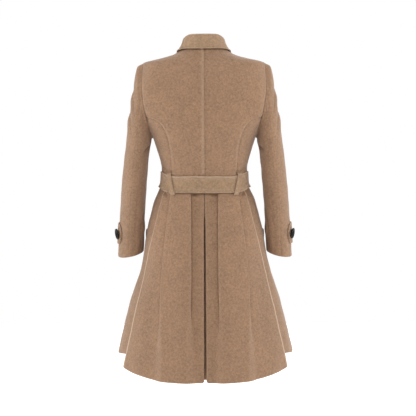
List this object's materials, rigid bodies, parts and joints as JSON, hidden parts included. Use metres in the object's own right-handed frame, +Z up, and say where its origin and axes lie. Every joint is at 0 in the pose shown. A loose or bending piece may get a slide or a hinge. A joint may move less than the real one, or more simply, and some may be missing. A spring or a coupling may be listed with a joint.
{
  "type": "double-breasted coat",
  "caption": "Belted wool coat filled out as worn: panelled bodice, notched collar, set-in sleeves with cuff tabs, flared skirt with pressed back pleats and a slit.",
  "frame": {"origin": "the nape: the neck seam at the centre back, where the coat is held on a hook or a hanger", "axes": "+Z up, +Y out of the coat's back, +X towards the wearer's left"},
  "size_m": [0.5622, 0.4078, 1.0269],
  "materials": {
    "wool": "felted camel wool, matt",
    "horn": "polished black"
  },
  "bodies": {
    "root": {"back_left": "wool", "side_back_left": "wool", "front_left": "wool", "lapel_left": "wool", "top_sleeve_left": "wool", "under_sleeve_left": "wool", "cuff_tab_left": "wool", "skirt_back_left": "wool", "skirt_front_left": "wool", "belt_loop_left": "wool", "pocket_flap_left": "wool", "back_right": "wool", "side_back_right": "wool", "front_right": "wool", "lapel_right": "wool", "top_sleeve_right": "wool", "under_sleeve_right": "wool", "cuff_tab_right": "wool", "skirt_back_right": "wool", "skirt_front_right": "wool", "belt_loop_right": "wool", "pocket_flap_right": "wool", "collar": "wool", "belt": "wool", "cuff_button_left": "horn", "cuff_button_right": "horn", "front_button_left_1": "horn", "front_button_left_2": "horn", "front_button_left_3": "horn", "front_button_right_1": "horn", "front_button_right_2": "horn", "front_button_right_3": "horn", "buckle": "horn"}
  },
  "joints": []
}
